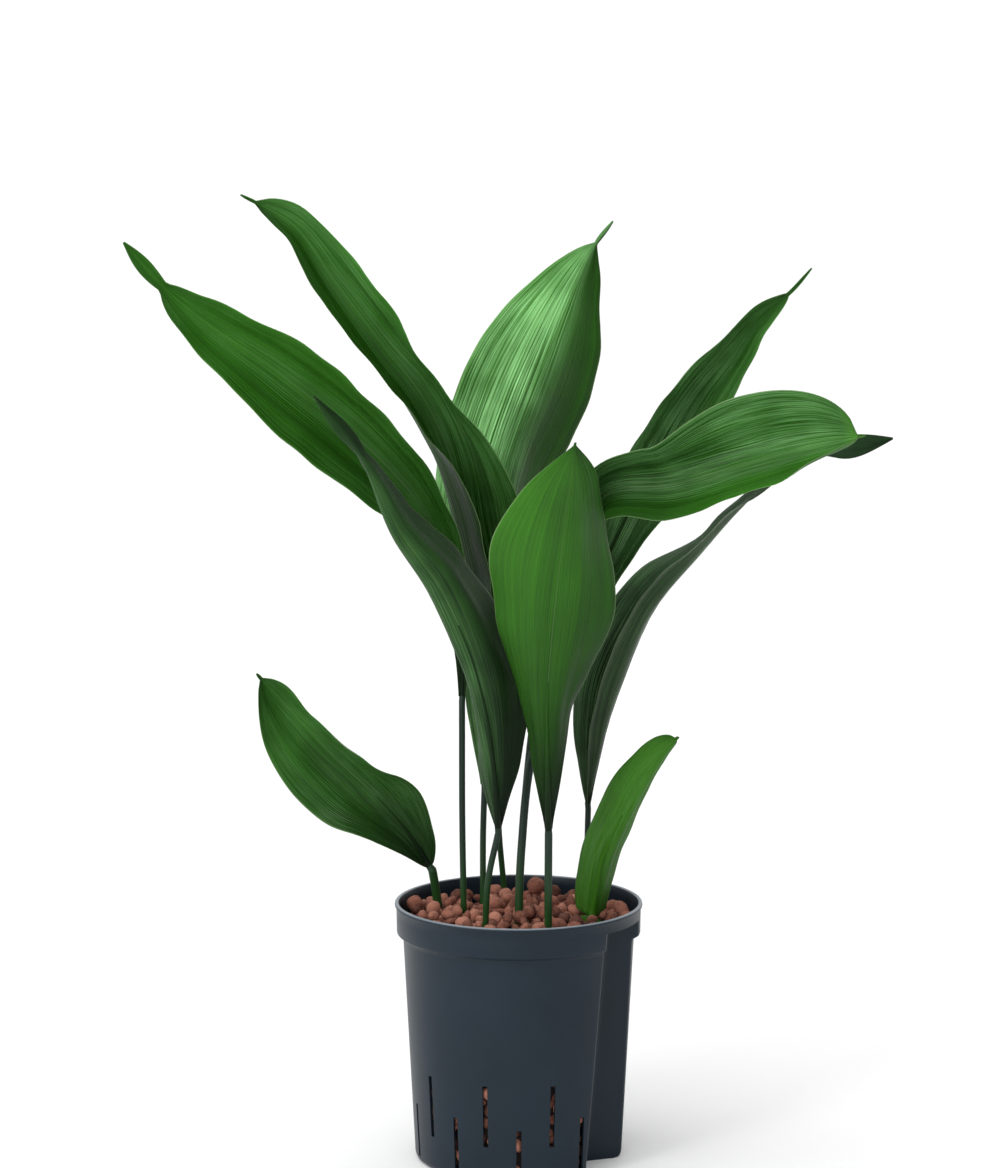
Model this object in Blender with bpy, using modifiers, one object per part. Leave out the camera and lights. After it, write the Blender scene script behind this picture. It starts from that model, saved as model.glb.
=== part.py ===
"""Cast iron plant (Aspidistra elatior) grown in expanded clay in a hydroculture pot.

Every leaf is a stalk and a blade. The stalks stand on creeping rhizomes, which lie with their roots in a bed
of clay granules. The bed fills a slotted culture pot with a groove down its side for a water gauge.
The origin is the middle of the pot's underside. +Z is up and -Y is the front. Sizes are in millimetres
and are turned to metres where an object is made.
"""

import math

import bmesh
import bpy
from mathutils import Vector

MM = 0.001
GAP = 0.35  # clearance between pieces that touch

# Culture pot: 180 mm across the rim and 190 mm high.
RIM_R = 90.0
POT_H = 190.0
BAND_R = 88.6
BAND_LOW = 168.0
BAND_DRAFT = 0.015
SHOULDER_R = 84.0
FOOT_R = 75.5
FOOT_ROUND = 5.0
WALL = 1.8
BASE = 2.2
POT_STEPS = 48

# Gauge groove: a tapered channel, seen along its direction from the pot's axis.
GROOVE_BEARING = -28.0  # degrees from +X
GROOVE_TOP = 180.0
GROOVE_FLOOR_TOP = (70.0, 7.0)  # distance from the axis, half width
GROOVE_FLOOR_LOW = (52.5, 8.0)
GROOVE_FLARE = 1.17  # half width gained for each millimetre outwards
GROOVE_REACH = 110.0

# Wall slots, as bearings clockwise from the front, in two staggered rows.
SLOT_W = 3.6
SLOT_STEP = 36.0
UPPER_SLOT = (26.0, 71.5)
LOWER_SLOT = (5.5, 45.0)
FRONT_SLOT = (5.5, 39.0)
GROOVE_CLEAR = 24.0  # degrees either side of the groove that stay unslotted

# Clay bed and the loose granules on it.
BED_TOP = 172.0
GRANULES = 18
GRANULE_R = (4.6, 6.0)
GRANULE_SPREAD = 12.5
GRANULE_LIMIT = 62.0  # none lies further out than this
GOLDEN_ANGLE = math.radians(137.508)

# Rhizomes and roots.
RHIZOME_Z = 150.0
RHIZOME_R = 5.0
ROOT_R = 1.6
ROOT_LOW = 22.0

BLADE_T = 0.9
BLADE_CLEAR = 0.2  # extra gap between a stalk and its blade, as a share of the stalk's radius
HALF_COLUMNS = 2
CUP = 0.16  # how far a half blade bows, as a share of its width

RHIZOMES = {
    "rhizome_left": [(-62, 32), (-40, 17), (-32, -10), (-24, -42)],
    "rhizome_middle": [(-8, 69), (-26, 48), (-17, 31), (1, 20), (0, -11), (22, -55)],
    "rhizome_right": [(46, 39), (52, 12), (52, -14)],
}

# Each root: where it leaves its rhizome, and where it ends near the floor of the pot.
ROOTS = [
    ((-40, 17), (-58, 8)),
    ((-32, -10), (-46, -34)),
    ((-24, -40), (-20, -60)),
    ((-26, 48), (-30, 56)),
    ((0, 20), (-6, 24)),
    ((20, -52), (14, -58)),
    ((47, 35), (40, 50)),
    ((52, 10), (36, 18)),
]

# Each leaf has a stalk, as its thickness and points above the rhizome, and a blade on a midrib, from base to
# tip. The blade's shape is its greatest half width, how far along the midrib that is, how hollow the wedge
# at its base is, how blunt its end is, and the length, neck and swell of its tip. Lengths along the
# midrib are shares of it. Turns say how far the left and the right half turn to the front, in degrees, at
# even steps along the blade. Left and right are as seen from the front with the tip up.
LEAVES = {
    "far_left": {
        "stalk": (2.3, [(-40, 17, 178), (-41, 18, 250)]),
        "upper_side": True,
        "midrib": [
            (-41, 19, 338), (-41, 19, 385), (-50, 18, 432), (-75, 17, 483), (-121, 16, 532),
            (-171, 15, 573), (-222, 14, 609), (-254, 13, 636), (-282, 12, 668),
        ],
        "half_width": 49, "widest": 0.56, "wedge": 1.5, "blunt": 0.8, "tip": (0.1, 4.0, 3.5),
        "turns": [(30, 30), (62, 58), (50, 52), (50, 45), (20, 20)],
    },
    "upper_left": {
        "stalk": (2.2, [(-10, 66, 178), (-14, 62, 225)]),
        "upper_side": True,
        "midrib": [
            (-15, 60, 262), (-17, 54, 325), (-25, 48, 395), (-38, 46, 455), (-50, 47, 510),
            (-70, 52, 553), (-98, 61, 588), (-133, 74, 633), (-163, 84, 674), (-203, 95, 696),
        ],
        "half_width": 47, "widest": 0.47, "wedge": 1.3, "blunt": 0.6, "tip": (0.03, 1.6, 0.5),
        "turns": [(60, 60), (100, 45), (105, 25), (76, 66), (66, 45), (60, 25)],
    },
    "top_centre": {
        "stalk": (2.3, [(-26, 48, 178), (-26, 51, 225)]),
        "upper_side": True,
        "midrib": [
            (-25, 56, 265), (-25, 74, 335), (-20, 96, 415), (-8, 117, 490), (22, 142, 572),
            (51, 163, 642), (71, 172, 671),
        ],
        "half_width": 56, "widest": 0.66, "wedge": 1.2, "blunt": 0.8, "tip": (0.05, 1.6, 0.8),
        "turns": [(20, 20), (45, -25), (-10, -52), (-15, -36), (-20, -40)],
    },
    "front_left": {
        "stalk": (2.3, [(-24, -40, 178), (-22, -44, 215)]),
        "upper_side": False,
        "midrib": [
            (-15, -48, 255), (-19, -52, 310), (-30, -61, 370), (-55, -78, 432), (-83, -98, 476),
            (-108, -118, 530), (-141, -137, 575),
        ],
        "half_width": 41, "widest": 0.4, "wedge": 1.0, "blunt": 0.9, "tip": (0.16, 4.5, 2.5),
        "turns": [(-45, -30), (-76, -20), (-80, -55), (-80, -62), (20, 20)],
    },
    "front_centre": {
        "stalk": (2.8, [(21, -52, 178), (21, -56, 215)]),
        "upper_side": False,
        "midrib": [
            (21, -60, 256), (20, -66, 312), (20, -76, 358), (25, -92, 424), (33, -119, 497),
            (38, -148, 544),
        ],
        "half_width": 50, "widest": 0.66, "wedge": 1.3, "blunt": 1.0, "tip": (0.01, 1.2, 0.0),
        "turns": [(-30, -20), (-55, -45), (-25, -25), (0, -54), (-10, -50)],
    },
    "right_upper": {
        "stalk": (3.0, [(0, -11, 178), (2, -8, 230), (9, 0, 294), (28, 14, 350)]),
        "upper_side": True,
        "midrib": [
            (36, 19, 374), (63, 32, 435), (102, 50, 514), (127, 62, 554), (153, 75, 583),
            (173, 85, 606), (198, 94, 624), (215, 99, 642),
        ],
        "half_width": 39, "widest": 0.48, "wedge": 1.0, "blunt": 0.8, "tip": (0.08, 2.2, 0.6),
        "turns": [(40, 40), (45, 55), (60, 40), (64, 55), (50, 50)],
    },
    "right_over": {
        "stalk": (2.4, [(1, 20, 178), (3, 18, 240), (9, 13, 310), (19, 12, 380)]),
        "upper_side": True,
        "midrib": [
            (24, 8, 402), (33, 0, 440), (60, -20, 491), (108, -41, 501), (157, -57, 517),
            (200, -72, 531), (241, -85, 541),
        ],
        "half_width": 48, "widest": 0.74, "wedge": 1.1, "blunt": 0.42, "tip": (0.02, 1.6, 0.5),
        "turns": [(50, 50), (64, 70), (40, 64), (4, 74), (0, 88)],
    },
    "right_back": {
        "stalk": (2.2, [(47, 35, 178), (50, 38, 212)]),
        "upper_side": False,
        "midrib": [
            (52, 40, 254), (58, 41, 282), (73, 43, 337), (99, 50, 394), (133, 60, 436),
            (179, 70, 484), (210, 76, 506), (241, 81, 512), (275, 86, 518),
        ],
        "half_width": 41, "widest": 0.33, "wedge": 1.0, "blunt": 0.9, "tip": (0.2, 6.0, 6.5),
        "turns": [(-20, 120), (-28, 118), (-48, 117), (-80, 104), (-82, 84), (0, 0)],
    },
    "small_left": {
        "stalk": (3.2, [(-59, 30, 178), (-61, 27, 195)]),
        "upper_side": True,
        "midrib": [
            (-65, 24, 211), (-81, 20, 237), (-102, 15, 263), (-126, 10, 287), (-150, 6, 313),
            (-171, 3, 337), (-189, -1, 358),
        ],
        "half_width": 41, "widest": 0.52, "wedge": 0.8, "blunt": 0.6, "tip": (0.03, 1.6, 0.5),
        "turns": [(60, 20), (50, 32), (8, 62), (15, 66), (40, 40)],
    },
    "small_right": {
        "stalk": (8.5, [(52, -10, 174)]),
        "upper_side": False,
        "midrib": [
            (53, -10, 192), (60, -11, 224), (73, -13, 253), (87, -15, 281), (102, -18, 303),
            (115, -20, 315),
        ],
        "half_width": 23, "widest": 0.5, "wedge": 0.3, "blunt": 0.5, "tip": (0.02, 1.6, 0.5),
        "turns": [(-40, -55), (-46, -55), (-44, -60), (-40, -62), (-30, -60)],
    },
}
BLADE_ROWS = 24
BASE_HALF = 3.0  # half width of a blade where it leaves its stalk
TIP_END = 0.8


def clear_scene():
    for obj in list(bpy.data.objects):
        bpy.data.objects.remove(obj, do_unlink=True)


def make_collection(name):
    collection = bpy.data.collections.new(name)
    bpy.context.scene.collection.children.link(collection)
    return collection


def make_material(name, colour, roughness):
    material = bpy.data.materials.new(name)
    material.use_nodes = True
    shader = material.node_tree.nodes["Principled BSDF"]
    shader.inputs["Base Color"].default_value = (*colour, 1.0)
    shader.inputs["Roughness"].default_value = roughness
    shader.inputs["Metallic"].default_value = 0.0
    return material


def make_object(name, mesh, collection, material=None):
    obj = bpy.data.objects.new(name, mesh)
    collection.objects.link(obj)
    if material:
        mesh.materials.append(material)
    return obj


def hide_helper(obj):
    obj.hide_render = True
    obj.display_type = "WIRE"
    return obj


def spline_points(controls, count):
    """Reads count evenly spread points off a Catmull-Rom curve through the controls, of any dimension."""
    controls = [tuple(float(value) for value in control) for control in controls]
    first = tuple(2 * a - b for a, b in zip(controls[0], controls[1]))
    last = tuple(2 * a - b for a, b in zip(controls[-1], controls[-2]))
    padded = [first, *controls, last]
    spans = len(controls) - 1
    points = []
    for index in range(count):
        place = spans * index / (count - 1)
        span = min(int(place), spans - 1)
        t = place - span
        a, b, c, d = padded[span:span + 4]
        points.append(tuple(
            0.5 * (2 * q + (r - p) * t + (2 * p - 5 * q + 4 * r - s) * t**2 + (3 * q - p - 3 * r + s) * t**3)
            for p, q, r, s in zip(a, b, c, d)
        ))
    return points


def turned_solid(name, profile, collection, steps, material=None):
    """A closed solid of revolution. The profile runs from the axis at the top, down the outside and back."""
    mesh = bpy.data.meshes.new(name)
    points = [(radius * MM, 0.0, height * MM) for radius, height in profile]
    mesh.from_pydata(points, [(i, i + 1) for i in range(len(points) - 1)], [])
    obj = make_object(name, mesh, collection, material)
    screw = obj.modifiers.new("Screw", "SCREW")
    screw.steps = steps
    screw.render_steps = steps
    screw.use_merge_vertices = True
    screw.merge_threshold = 0.00001
    screw.use_smooth_shade = True
    return obj


def subtract(obj, cutter):
    boolean = obj.modifiers.new("Cut " + cutter.name, "BOOLEAN")
    boolean.operation = "DIFFERENCE"
    boolean.object = cutter


def tube_curve(name, points, radius, collection, material=None):
    curve = bpy.data.curves.new(name, "CURVE")
    curve.dimensions = "3D"
    curve.bevel_depth = radius * MM
    curve.bevel_resolution = 2
    curve.use_fill_caps = True
    spline = curve.splines.new("POLY")
    spline.points.add(len(points) - 1)
    for point, place in zip(spline.points, points):
        point.co = (place[0] * MM, place[1] * MM, place[2] * MM, 1.0)
    obj = bpy.data.objects.new(name, curve)
    collection.objects.link(obj)
    if material:
        curve.materials.append(material)
    return obj


def tube_cutter(name, points, radius, collection):
    """The tube as a closed mesh, because a curve can't cut."""
    curve = tube_curve(name + "_curve", points, radius, collection)
    graph = bpy.context.evaluated_depsgraph_get()
    mesh = bpy.data.meshes.new_from_object(curve.evaluated_get(graph))
    cage = bmesh.new()
    cage.from_mesh(mesh)
    bmesh.ops.remove_doubles(cage, verts=cage.verts, dist=0.00001)
    bmesh.ops.recalc_face_normals(cage, faces=cage.faces)
    cage.to_mesh(mesh)
    cage.free()
    bpy.data.objects.remove(curve, do_unlink=True)
    return hide_helper(make_object(name, mesh, collection))


def groove_frame(outwards, sideways, height):
    """A point given along and across the groove's direction, in metres."""
    bearing = math.radians(GROOVE_BEARING)
    x = outwards * math.cos(bearing) - sideways * math.sin(bearing)
    y = outwards * math.sin(bearing) + sideways * math.cos(bearing)
    return Vector((x * MM, y * MM, height * MM))


def groove_solid(name, offset, collection):
    """The tapered channel as a block, grown inwards by offset, open below the pot and outside its wall."""
    grow = offset * math.sqrt(1 + GROOVE_FLARE**2) - GROOVE_FLARE * offset
    low_z = -10.0
    levels = []
    for height in (low_z, GROOVE_TOP + offset):
        share = height / GROOVE_TOP
        distance = GROOVE_FLOOR_LOW[0] + share * (GROOVE_FLOOR_TOP[0] - GROOVE_FLOOR_LOW[0]) - offset
        half = GROOVE_FLOOR_LOW[1] + share * (GROOVE_FLOOR_TOP[1] - GROOVE_FLOOR_LOW[1]) + grow
        wide = half + GROOVE_FLARE * (GROOVE_REACH - distance)
        levels.append((height, distance, half, wide))
    cage = bmesh.new()
    bmesh.ops.create_cube(cage, size=2.0)
    for vert in cage.verts:
        height, distance, half, wide = levels[vert.co.z > 0]
        side = 1 if vert.co.y > 0 else -1
        if vert.co.x > 0:
            vert.co = groove_frame(GROOVE_REACH, side * wide, height)
        else:
            vert.co = groove_frame(distance, side * half, height)
    bmesh.ops.recalc_face_normals(cage, faces=cage.faces)
    mesh = bpy.data.meshes.new(name)
    cage.to_mesh(mesh)
    cage.free()
    return hide_helper(make_object(name, mesh, collection))


def slot_cutter(collection):
    """Every wall slot as a thin upright block through the wall."""
    depth = 16.0
    cage = bmesh.new()
    groove = 90.0 + GROOVE_BEARING
    for index in range(10):
        for shift, (low, high) in ((0.5, UPPER_SLOT), (0.0, LOWER_SLOT)):
            bearing = (index + shift) * SLOT_STEP
            if abs(bearing - groove) < GROOVE_CLEAR:
                continue
            if bearing == 0.0:
                low, high = FRONT_SLOT
            angle = math.radians(bearing - 90.0)
            made = bmesh.ops.create_cube(cage, size=1.0)["verts"]
            for vert in made:
                out = FOOT_R + 3.0 + vert.co.x * depth
                side = vert.co.y * SLOT_W
                height = (low + high) / 2 + vert.co.z * (high - low)
                vert.co = Vector((
                    (out * math.cos(angle) - side * math.sin(angle)) * MM,
                    (out * math.sin(angle) + side * math.cos(angle)) * MM,
                    height * MM,
                ))
    mesh = bpy.data.meshes.new("slots")
    cage.to_mesh(mesh)
    cage.free()
    return hide_helper(make_object("slots", mesh, collection))


def inner_profile(inset, top):
    """The pot's inside from the top down, moved inwards by inset."""
    return [
        (0.0, top),
        (BAND_R - WALL + BAND_DRAFT * (top - BAND_LOW - 1.0) - inset, top),
        (BAND_R - WALL - inset, BAND_LOW + 1.0 + inset / 2),
        (SHOULDER_R - WALL - inset, BAND_LOW - 4.0 + inset / 2),
        (FOOT_R - WALL - inset, FOOT_ROUND + 0.5),
        (FOOT_R - WALL - 3.0 - inset, BASE + inset),
        (0.0, BASE + inset),
    ]


def make_pot(collection, cutters):
    plastic = make_material("dark_blue_grey_plastic", (0.03, 0.045, 0.06), 0.45)
    outside = [
        (0.0, POT_H),
        (RIM_R - 0.8, POT_H),
        (RIM_R, POT_H - 0.8),
        (RIM_R, POT_H - 2.4),
        (BAND_R + 0.3, POT_H - 3.4),
        (BAND_R, BAND_LOW),
        (SHOULDER_R, BAND_LOW - 2.6),
        (FOOT_R, FOOT_ROUND),
        (FOOT_R - 1.6, 1.4),
        (FOOT_R - 4.6, 0.0),
        (0.0, 0.0),
    ]
    pot = turned_solid("culture_pot", outside, collection, POT_STEPS, plastic)
    cavity = turned_solid("pot_cavity", inner_profile(0.0, POT_H + 5.0), cutters, POT_STEPS)
    subtract(cavity, groove_solid("groove_inside", WALL, cutters))
    subtract(pot, groove_solid("groove_outside", 0.0, cutters))
    subtract(pot, hide_helper(cavity))
    subtract(pot, slot_cutter(cutters))


def rhizome_points(name):
    flat = spline_points(RHIZOMES[name], 4 * len(RHIZOMES[name]) - 3)
    return [(x, y, RHIZOME_Z) for x, y in flat]


def root_points(start, end, rise):
    """A root leaves the rhizome downwards, swings out as it sinks, and ends above the pot's floor."""
    top = RHIZOME_Z - RHIZOME_R - GAP + rise
    middle = ((start[0] + end[0]) / 2, (start[1] + end[1]) / 2)
    controls = [(*start, top), (*start, top - 12.0 - rise), (*middle, 80.0), (*end, ROOT_LOW)]
    return spline_points(controls, 10)


def stalk_points(leaf, drop):
    """From just above the rhizome to just under the blade. A drop takes the foot down into the rhizome."""
    path = leaf["stalk"][1]
    foot = (path[0][0], path[0][1], RHIZOME_Z + RHIZOME_R + GAP - drop)
    base = Vector(leaf["midrib"][0])
    rise = (Vector(leaf["midrib"][1]) - base).normalized()
    top = base - rise * (GAP + BLADE_T + leaf["stalk"][0] * BLADE_CLEAR)
    return spline_points([foot, *path, tuple(top)], 4 + 3 * len(path))


def make_roots_and_rhizomes(collection):
    bark = make_material("rhizome_skin", (0.30, 0.19, 0.09), 0.7)
    root_skin = make_material("root_skin", (0.45, 0.36, 0.22), 0.7)
    for name in RHIZOMES:
        tube_curve(name, rhizome_points(name), RHIZOME_R, collection, bark)
    for number, (start, end) in enumerate(ROOTS, 1):
        tube_curve(f"root_{number}", root_points(start, end, 0.0), ROOT_R, collection, root_skin)


def make_clay_bed(collection, cutters):
    clay = make_material("expanded_clay", (0.28, 0.11, 0.07), 0.9)
    bed = turned_solid("clay_bed", inner_profile(GAP, BED_TOP), collection, POT_STEPS, clay)
    subtract(bed, groove_solid("groove_in_bed", WALL + GAP, cutters))
    hollows = make_collection("bed_hollows")
    for name in RHIZOMES:
        tube_cutter("hollow_" + name, rhizome_points(name), RHIZOME_R + GAP, hollows)
    for number, (start, end) in enumerate(ROOTS, 1):
        points = root_points(start, end, 2.0)
        points[-1] = (points[-1][0], points[-1][1], points[-1][2] - GAP)
        tube_cutter(f"hollow_root_{number}", points, ROOT_R + GAP, hollows)
    for name, leaf in LEAVES.items():
        points = [point for point in stalk_points(leaf, 3.0) if point[2] < BED_TOP + 30.0]
        tube_cutter("hollow_" + name, points, leaf["stalk"][0] + GAP, hollows)
    cut = bed.modifiers.new("Cut hollows", "BOOLEAN")
    cut.operation = "DIFFERENCE"
    cut.operand_type = "COLLECTION"
    cut.collection = hollows


def make_granules(collection):
    """Loose granules on the bed, spread by the golden angle and kept off the stalks and each other."""
    clay = make_material("loose_clay", (0.32, 0.13, 0.085), 0.9)
    feet = [(leaf["stalk"][1][0], leaf["stalk"][0]) for leaf in LEAVES.values()]
    placed = []
    turn = 0
    while len(placed) < GRANULES:
        turn += 1
        radius = GRANULE_R[0] + (GRANULE_R[1] - GRANULE_R[0]) * (turn * 7 % 10) / 9
        spread = min(GRANULE_SPREAD * math.sqrt(turn), GRANULE_LIMIT)
        centre = Vector((spread * math.cos(turn * GOLDEN_ANGLE), spread * math.sin(turn * GOLDEN_ANGLE)))
        clear_of_feet = all((centre - Vector(foot[:2])).length > radius + r + 3.0 for foot, r in feet)
        clear_of_rest = all((centre - other).length > radius + r + 1.0 for other, r in placed)
        groove = Vector(groove_frame(GROOVE_FLOOR_TOP[0], 0.0, 0.0)[:2]) / MM
        if not clear_of_feet or not clear_of_rest or (centre - groove).length < 20.0:
            continue
        placed.append((centre, radius))
        cage = bmesh.new()
        bmesh.ops.create_icosphere(cage, subdivisions=1, radius=radius * MM)
        mesh = bpy.data.meshes.new(f"granule_{len(placed)}")
        cage.to_mesh(mesh)
        cage.free()
        granule = make_object(mesh.name, mesh, collection, clay)
        granule.location = (centre.x * MM, centre.y * MM, (BED_TOP + radius + GAP) * MM)


def blade_half_width(leaf, share):
    """Swells from the stalk to the widest place, narrows to a neck and ends in a small drawn-out tip."""
    full, widest = leaf["half_width"], leaf["widest"]
    tip, neck_half, tip_half = leaf["tip"]
    neck = 1.0 - tip
    if share < widest:
        return BASE_HALF + (full - BASE_HALF) * math.sin(math.pi / 2 * share / widest) ** leaf["wedge"]
    if share < neck:
        fall = math.cos(math.pi / 2 * (share - widest) / (neck - widest)) ** leaf["blunt"]
        return neck_half + (full - neck_half) * fall
    along = min((share - neck) / tip, 1.0)
    return neck_half + (TIP_END - neck_half) * along + tip_half * math.sin(math.pi * along)


def between(values, share):
    """Reads a list of pairs, set at even steps, at a share of its length."""
    place = share * (len(values) - 1)
    index = min(int(place), len(values) - 2)
    ease = 0.5 - 0.5 * math.cos(math.pi * (place - index))
    return [a + (b - a) * ease for a, b in zip(values[index], values[index + 1])]


def blade_stations(leaf, count):
    """A point on the midrib, the half width and both turns, from base to tip."""
    midrib = [Vector(point) for point in spline_points(leaf["midrib"], count)]
    travelled = [0.0]
    for before, after in zip(midrib, midrib[1:]):
        travelled.append(travelled[-1] + (after - before).length)
    stations = []
    for point, distance in zip(midrib, travelled):
        share = distance / travelled[-1]
        stations.append((point, blade_half_width(leaf, share), *between(leaf["turns"], share)))
    return stations


def blade_rows(leaf, count, columns):
    """Points across the blade for each row: the left margin, the midrib and the right margin in one list."""
    front = Vector((0.0, -1.0, 0.0))
    stations = blade_stations(leaf, count)
    rows = []
    for index, (point, half, left, right) in enumerate(stations):
        before = stations[max(index - 1, 0)][0]
        after = stations[min(index + 1, count - 1)][0]
        along = (after - before).normalized()
        across = along.cross(front).normalized()
        facing = across.cross(along)
        row = []
        for column in range(-columns, columns + 1):
            share = abs(column) / columns
            side = 1 if column > 0 else -1
            turn = math.radians(right if column > 0 else left)
            outwards = across * (side * math.cos(turn)) + facing * math.sin(turn)
            bow = across * (-side * math.sin(turn)) + facing * math.cos(turn)
            if not leaf["upper_side"]:
                bow = -bow
            lift = 4 * share * (1 - share) * CUP / 2
            row.append(point + (outwards * share - bow * lift) * half)
        rows.append(row)
    return rows


def make_leaf(name, leaf, collection, blade_green, stalk_green):
    tube_curve(f"stalk_{name}", stalk_points(leaf, 0.0), leaf["stalk"][0], collection, stalk_green)
    rows = blade_rows(leaf, BLADE_ROWS, HALF_COLUMNS)
    cage = bmesh.new()
    grid = [[cage.verts.new(point * MM) for point in row] for row in rows]
    for lower, upper in zip(grid, grid[1:]):
        for index in range(len(lower) - 1):
            cage.faces.new((lower[index], lower[index + 1], upper[index + 1], upper[index]))
    mesh = bpy.data.meshes.new(f"blade_{name}")
    cage.to_mesh(mesh)
    cage.free()
    mesh.shade_smooth()
    blade = make_object(mesh.name, mesh, collection, blade_green)
    shell = blade.modifiers.new("Thickness", "SOLIDIFY")
    shell.thickness = BLADE_T * MM
    shell.offset = 0.0


def main():
    clear_scene()
    parts = make_collection("cast_iron_plant")
    cutters = make_collection("cutters")
    make_pot(parts, cutters)
    make_clay_bed(parts, cutters)
    make_granules(parts)
    make_roots_and_rhizomes(parts)
    blade_green = make_material("leaf_blade", (0.05, 0.16, 0.03), 0.35)
    stalk_green = make_material("leaf_stalk", (0.02, 0.07, 0.03), 0.45)
    for name, leaf in LEAVES.items():
        make_leaf(name, leaf, parts, blade_green, stalk_green)


main()
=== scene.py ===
import math

import bmesh
import bpy
from bpy.props import FloatProperty, FloatVectorProperty, IntProperty, PointerProperty
from mathutils import Matrix, Vector, noise


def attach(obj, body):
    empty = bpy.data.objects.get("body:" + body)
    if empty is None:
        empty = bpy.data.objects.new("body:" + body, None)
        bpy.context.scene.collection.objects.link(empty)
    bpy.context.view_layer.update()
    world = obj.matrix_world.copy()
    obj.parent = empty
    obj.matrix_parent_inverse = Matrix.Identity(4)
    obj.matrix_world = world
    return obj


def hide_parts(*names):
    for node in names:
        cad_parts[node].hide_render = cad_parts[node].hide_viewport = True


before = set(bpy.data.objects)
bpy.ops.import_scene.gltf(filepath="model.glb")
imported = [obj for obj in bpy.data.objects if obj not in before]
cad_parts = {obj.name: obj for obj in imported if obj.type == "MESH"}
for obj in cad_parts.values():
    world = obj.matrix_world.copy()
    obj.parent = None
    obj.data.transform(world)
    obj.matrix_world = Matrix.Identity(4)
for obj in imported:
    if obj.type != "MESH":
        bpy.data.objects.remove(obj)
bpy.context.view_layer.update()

bl_info = {
    "name": "Potted cast iron plant",
    "version": (1, 0, 0),
    "blender": (4, 5, 0),
    "location": "3D View > Sidebar > Plant",
    "description": "Builds a cast iron plant in a slotted hydroculture pot over its packed model",
    "category": "Object",
}

MM = 0.001

# Culture pot, in millimetres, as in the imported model.
RIM_R = 90.0
POT_H = 190.0
BAND_R = 88.6
BAND_LOW = 168.0
BAND_DRAFT = 0.015
SHOULDER_R = 84.0
FOOT_R = 75.5
FOOT_ROUND = 5.0
BASE = 2.2
GROOVE_BEARING = math.radians(-28.0)
GROOVE_TOP = 180.0
GROOVE_FLOOR_TOP = (70.0, 7.0)
GROOVE_FLOOR_LOW = (52.5, 8.0)
GROOVE_FLARE = 1.17
SLOT_STEP = 36.0
UPPER_SLOT = (26.0, 71.5)
LOWER_SLOT = (5.5, 45.0)
FRONT_SLOT = (5.5, 39.0)
GROOVE_CLEAR = 24.0
BED_TOP = 172.0

ROWS = 100
COLUMNS = 14
CUP = 0.16
TIP_END = 0.8
KEEL_REACH = 0.45
STALK_FOOT = 155.4
STALK_SIDES = 16
WINDOW_SPREAD = math.radians(100.0)
KEEL_HALF = 2.6
KEEL_END = 0.45
WAVE_LENGTH = 26.0  # of the ripples along a margin
SWELL_LENGTH = 60.0  # of the slower bends of a blade
VEINS = 54  # across a blade, so about 1.7 mm apart at the widest place
STREAKS = 48.0  # of tone across a blade
HIGHLIGHT_STREAKS = 110.0  # of the painted highlight, across a blade
MIDRIB_FADE = (0.008, 0.003)  # where the pale midrib fades, as a share of the width away from the middle
MARGIN_FADE = (0.490, 0.498)  # where the pale margin starts, in the same way
RIM_HIGHLIGHT_FADE = (0.1890, 0.1898)  # heights in metres where the painted highlight on the rim's lip starts and is full
CAMERA_AT = (-0.0135, -3.217, 0.927)
CAMERA_PITCH = math.radians(81.1)
SHEATH_FROM = 6.0  # a stalk thicker than this is a rolled sheath, with the blade's own skin
LOOK = {"base_half": 3.0, "painted_side_light": 0.0, "tone": 0.5, "young": 0.0, "yellow_from": 1.0, "painted_shine": (0.1, 0.1)}
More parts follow.
